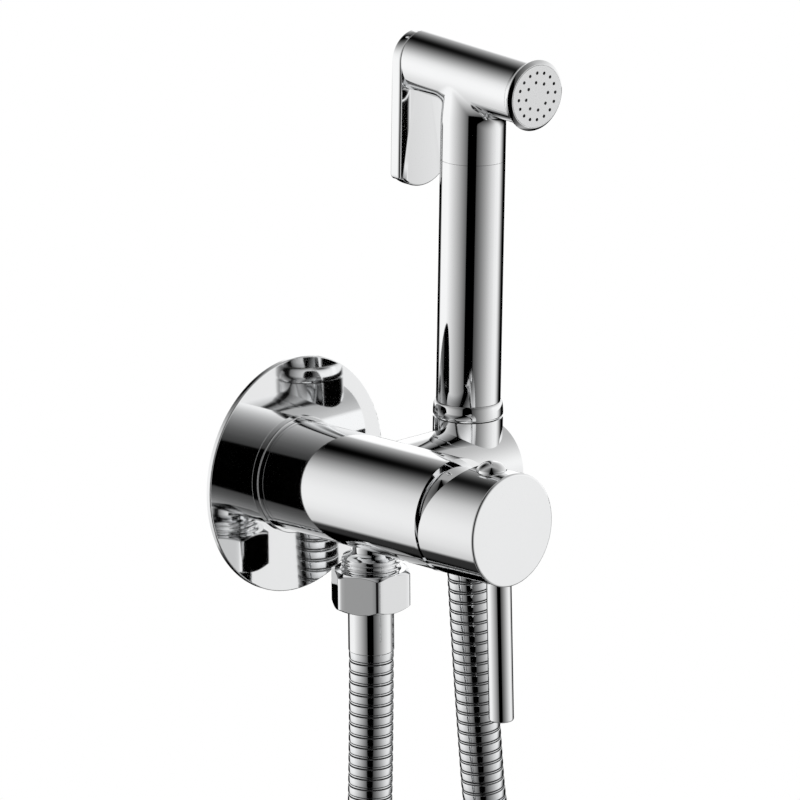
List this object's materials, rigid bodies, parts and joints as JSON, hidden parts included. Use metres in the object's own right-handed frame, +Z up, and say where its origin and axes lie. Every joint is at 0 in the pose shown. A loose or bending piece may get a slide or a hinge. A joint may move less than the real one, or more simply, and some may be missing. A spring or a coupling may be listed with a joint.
{
  "type": "concealed bidet shower mixer",
  "caption": "Concealed single-lever bidet mixer: round wall plate, barrel body, side holder, trigger hand spray and flexible hose.",
  "frame": {"origin": "centre of the wall plate's back plane, on the valve body's axis", "axes": "+Y into the wall (the user stands on the -Y side), +X towards the sprayer holder, +Z up"},
  "size_m": [0.1776, 0.1245, 0.5073],
  "materials": {
    "body_chrome": "polished chrome plate",
    "hose_steel": "satin steel strip, wound",
    "inner_brass": "machined",
    "valve_ceramic": "lapped ceramic",
    "inner_plastic": "moulded",
    "seal_rubber": "matt",
    "spray_plate": "fine matt",
    "inner_steel": "turned"
  },
  "bodies": {
    "base": {"wall_plate": "body_chrome", "wall_gasket": "seal_rubber", "valve_body": "body_chrome", "port_seals": "seal_rubber", "cartridge_base": "inner_plastic", "fixed_disc": "valve_ceramic", "cartridge_housing": "inner_plastic", "cartridge_nut": "inner_brass", "dome_shroud": "body_chrome", "outlet_nipple": "body_chrome", "hose_nut": "body_chrome", "outlet_washer": "seal_rubber", "outlet_insert": "inner_brass", "outlet_ferrule": "body_chrome", "holder_arm": "body_chrome", "hose_outlet_leg": "hose_steel", "hose_coil": "hose_steel", "hose_tie": "inner_plastic"},
    "mixing_rotor": {"cartridge_rotor": "inner_plastic", "lever_pin": "inner_steel"},
    "handle": {"lever_stem": "inner_brass", "handle_cap": "body_chrome", "handle_rod": "body_chrome", "handle_screw": "inner_steel", "index_plug": "body_chrome"},
    "mixing_disc": {"moving_disc": "valve_ceramic", "disc_carrier": "inner_plastic"},
    "hose_end": {"sprayer_washer": "seal_rubber", "sprayer_insert": "inner_brass", "sprayer_ferrule": "body_chrome", "hose_sprayer_leg": "hose_steel"},
    "sprayer": {"cone_nut": "body_chrome", "sprayer_tail": "inner_brass", "grip_tube": "body_chrome", "sprayer_head": "body_chrome", "spray_bezel": "body_chrome", "face_gasket": "seal_rubber", "spray_face": "spray_plate", "trigger_pin": "inner_steel", "spring_seat": "inner_plastic", "valve_spring": "inner_steel"},
    "trigger": {"trigger": "body_chrome"},
    "plunger": {"valve_plunger": "inner_brass"}
  },
  "joints": [
    {"name": "handle_turn", "type": "hinge", "parent": "base", "child": "mixing_rotor", "pos_m": [0, -0.072, 0], "axis": [0, -1, 0], "range_deg": [-45, 45]},
    {"name": "handle_lift", "type": "hinge", "parent": "mixing_rotor", "child": "handle", "pos_m": [0, -0.074, 0], "axis": [-1, 0, 0], "range_deg": [0, 20]},
    {"name": "disc_slide", "type": "slide", "parent": "mixing_rotor", "child": "mixing_disc", "axis": [0, 0, 1], "range_m": [-0.0036, 0]},
    {"name": "sprayer_lift", "type": "slide", "parent": "base", "child": "hose_end", "axis": [0, -0.0288, 0.9996], "range_m": [0, 0.022]},
    {"name": "sprayer_swivel", "type": "hinge", "parent": "hose_end", "child": "sprayer", "pos_m": [0.0458, -0.042, 0], "axis": [0, -0.0288, 0.9996], "continuous": true},
    {"name": "trigger_press", "type": "hinge", "parent": "sprayer", "child": "trigger", "pos_m": [0.04872, -0.01715, 0.15425], "axis": [-0.9951, 0.0993, 0.0029], "range_deg": [0, 6], "stiffness_Nm_per_rad": 0.6, "springref_deg": -8.59},
    {"name": "valve_stroke", "type": "slide", "parent": "sprayer", "child": "plunger", "axis": [-0.0992, -0.9925, -0.0714], "range_m": [0, 0.00089], "deforming": ["valve_spring"]}
  ],
  "couplings": [
    {"joint": "disc_slide", "follows": "handle_lift", "m_per_rad": -0.0098},
    {"joint": "valve_stroke", "follows": "trigger_press", "m_per_rad": 0.0083}
  ]
}
